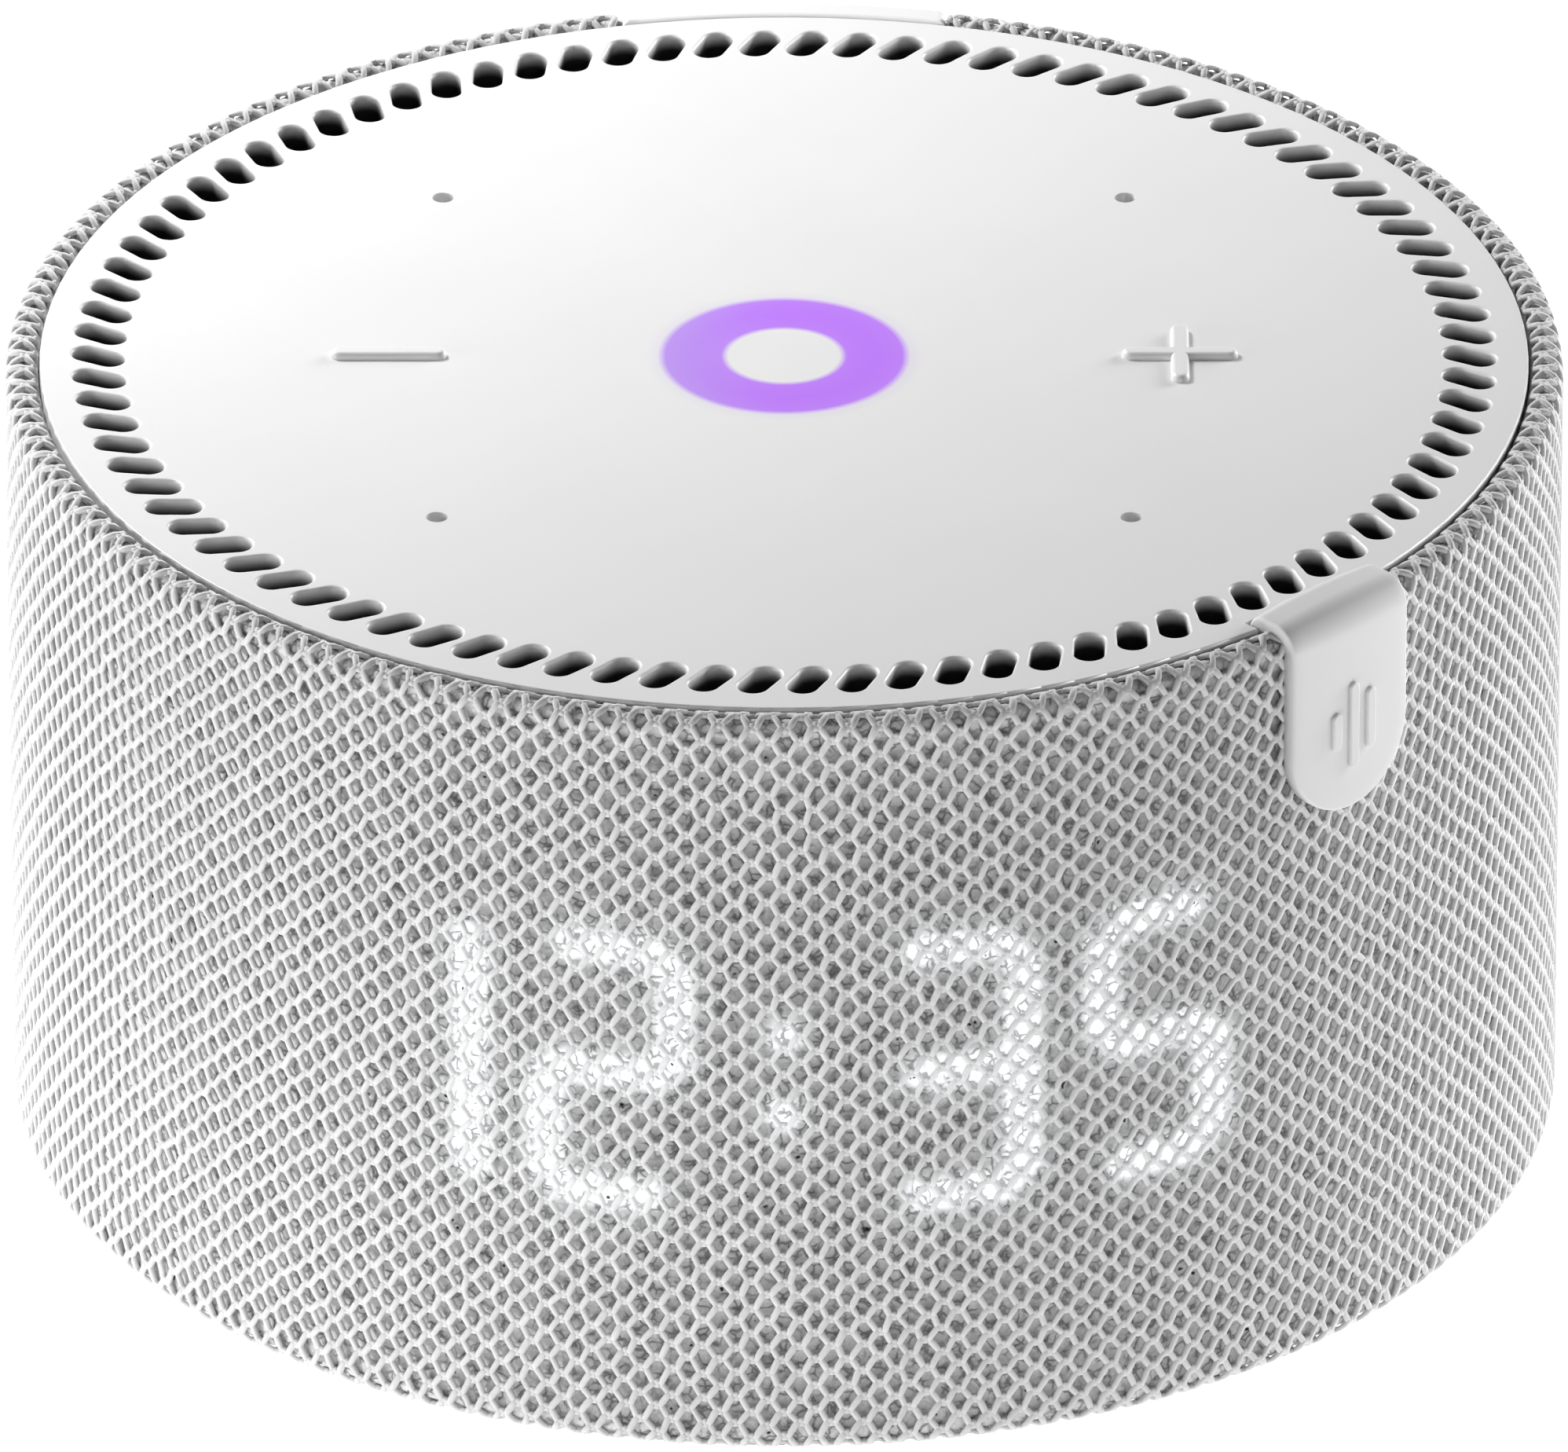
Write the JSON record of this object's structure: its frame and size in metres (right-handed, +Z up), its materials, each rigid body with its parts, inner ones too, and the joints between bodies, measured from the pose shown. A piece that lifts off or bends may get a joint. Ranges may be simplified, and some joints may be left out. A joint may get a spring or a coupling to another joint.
{
  "type": "smart speaker with clock display",
  "caption": "Low round smart speaker with a white top plate ringed by sound slots, a knitted fabric side with a lit clock behind it, and a soft tag over the rim.",
  "frame": {"origin": "centre of the foot ring's underside, on the surface the speaker stands on", "axes": "+Z up, -Y towards the clock at the front, +X to the right as seen from the front"},
  "size_m": [0.098, 0.0984, 0.0545],
  "materials": {
    "white_shell": "fine satin moulded plastic",
    "knit_fabric": "open hexagonal knit over a grey backing cloth",
    "inner_plastic": "moulded grey plastic",
    "base_plastic": "fine matt moulded plastic",
    "foot_rubber": "matt grey silicone rubber",
    "tag_rubber": "soft matt silicone",
    "screw_steel": "zinc-plated steel",
    "circuit_board": "green solder mask",
    "light_guide": "milky light guide",
    "led_package": "white lamp package",
    "metal_can": "tinned steel",
    "black_rubber": "soft black rubber",
    "dust_cloth": "fine black acoustic cloth",
    "black_plastic": "moulded black plastic",
    "slider_plastic": "satin moulded plastic",
    "basket_steel": "black painted steel",
    "magnet_steel": "zinc-plated steel",
    "ferrite": "dark sintered ferrite",
    "coil_copper": "enamelled copper wire",
    "cone_paper": "dark pressed paper",
    "spider_cloth": "treated cloth",
    "chip_plastic": "black moulded package",
    "spreader_aluminium": "plain aluminium",
    "ballast_steel": "plain steel plate",
    "flex_film": "amber polyimide film"
  },
  "bodies": {
    "housing": {"top_plate": "white_shell", "fabric_sleeve": "knit_fabric", "side_shell": "inner_plastic", "rear_panel": "white_shell", "base_cover": "base_plastic", "foot_ring": "foot_rubber", "fabric_tag": "tag_rubber", "base_screws": "screw_steel", "board_screws": "screw_steel", "touch_board": "circuit_board", "touch_board_screws": "screw_steel", "ring_light_guide": "light_guide", "status_leds": "led_package", "microphones": "metal_can", "mic_gaskets": "black_rubber", "vent_dust_mesh": "dust_cloth", "display_light_frame": "black_plastic", "display_diffuser": "light_guide", "display_board": "circuit_board", "display_leds": "led_package", "port_board": "circuit_board", "mute_switch": "black_plastic", "audio_jack": "black_plastic", "power_inlet": "metal_can", "speaker_box": "black_plastic", "speaker_baffle": "black_plastic", "driver_basket": "basket_steel", "driver_washer": "magnet_steel", "driver_magnet": "ferrite", "driver_yoke": "magnet_steel", "driver_screws": "screw_steel", "driver_surround": "black_rubber", "driver_spider": "spider_cloth", "main_board": "circuit_board", "processor": "chip_plastic", "shield_can": "metal_can", "heat_spreader": "spreader_aluminium", "board_components": "chip_plastic", "ballast_plate": "ballast_steel", "antennas": "flex_film", "speaker_leads": "black_rubber", "touch_ribbon": "flex_film", "display_ribbon": "flex_film", "port_ribbon": "flex_film"},
    "mute_slider": {"mute_slider": "slider_plastic"},
    "speaker_cone": {"voice_coil": "coil_copper", "driver_cone": "cone_paper", "dust_cap": "cone_paper"}
  },
  "joints": [
    {"name": "mute_slide", "type": "slide", "parent": "housing", "child": "mute_slider", "axis": [1, 0, 0], "range_m": [0, 0.0025]},
    {"name": "cone_travel", "type": "slide", "parent": "housing", "child": "speaker_cone", "axis": [0, 0, 1], "range_m": [-0.002, 0.002], "stiffness_N_per_m": 1000, "deforming": ["driver_surround", "driver_spider"]}
  ]
}
